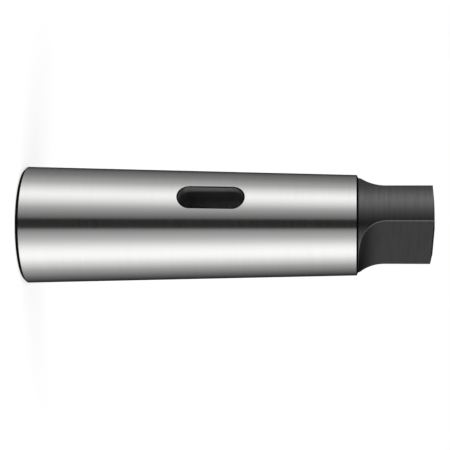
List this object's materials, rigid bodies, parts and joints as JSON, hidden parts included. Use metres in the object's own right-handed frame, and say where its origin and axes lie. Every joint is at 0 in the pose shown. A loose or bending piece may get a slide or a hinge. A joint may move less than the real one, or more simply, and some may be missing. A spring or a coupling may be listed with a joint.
{
  "type": "morse taper sleeve",
  "caption": "Steel reducing sleeve with a ground taper outside, a tapered socket inside, a drift slot through the body and a flatted tang.",
  "frame": {"origin": "centre of the large end's face, on which the sleeve stands", "axes": "+Z along the sleeve's axis towards the tang, +Y along the drift slot, +X square to the tang's flats"},
  "size_m": [0.0446, 0.0446, 0.1555],
  "materials": {
    "steel": "outside taper ground bright, with the tang, slot, socket and large end left dark from hardening"
  },
  "bodies": {
    "root": {"sleeve": "steel"}
  },
  "joints": []
}
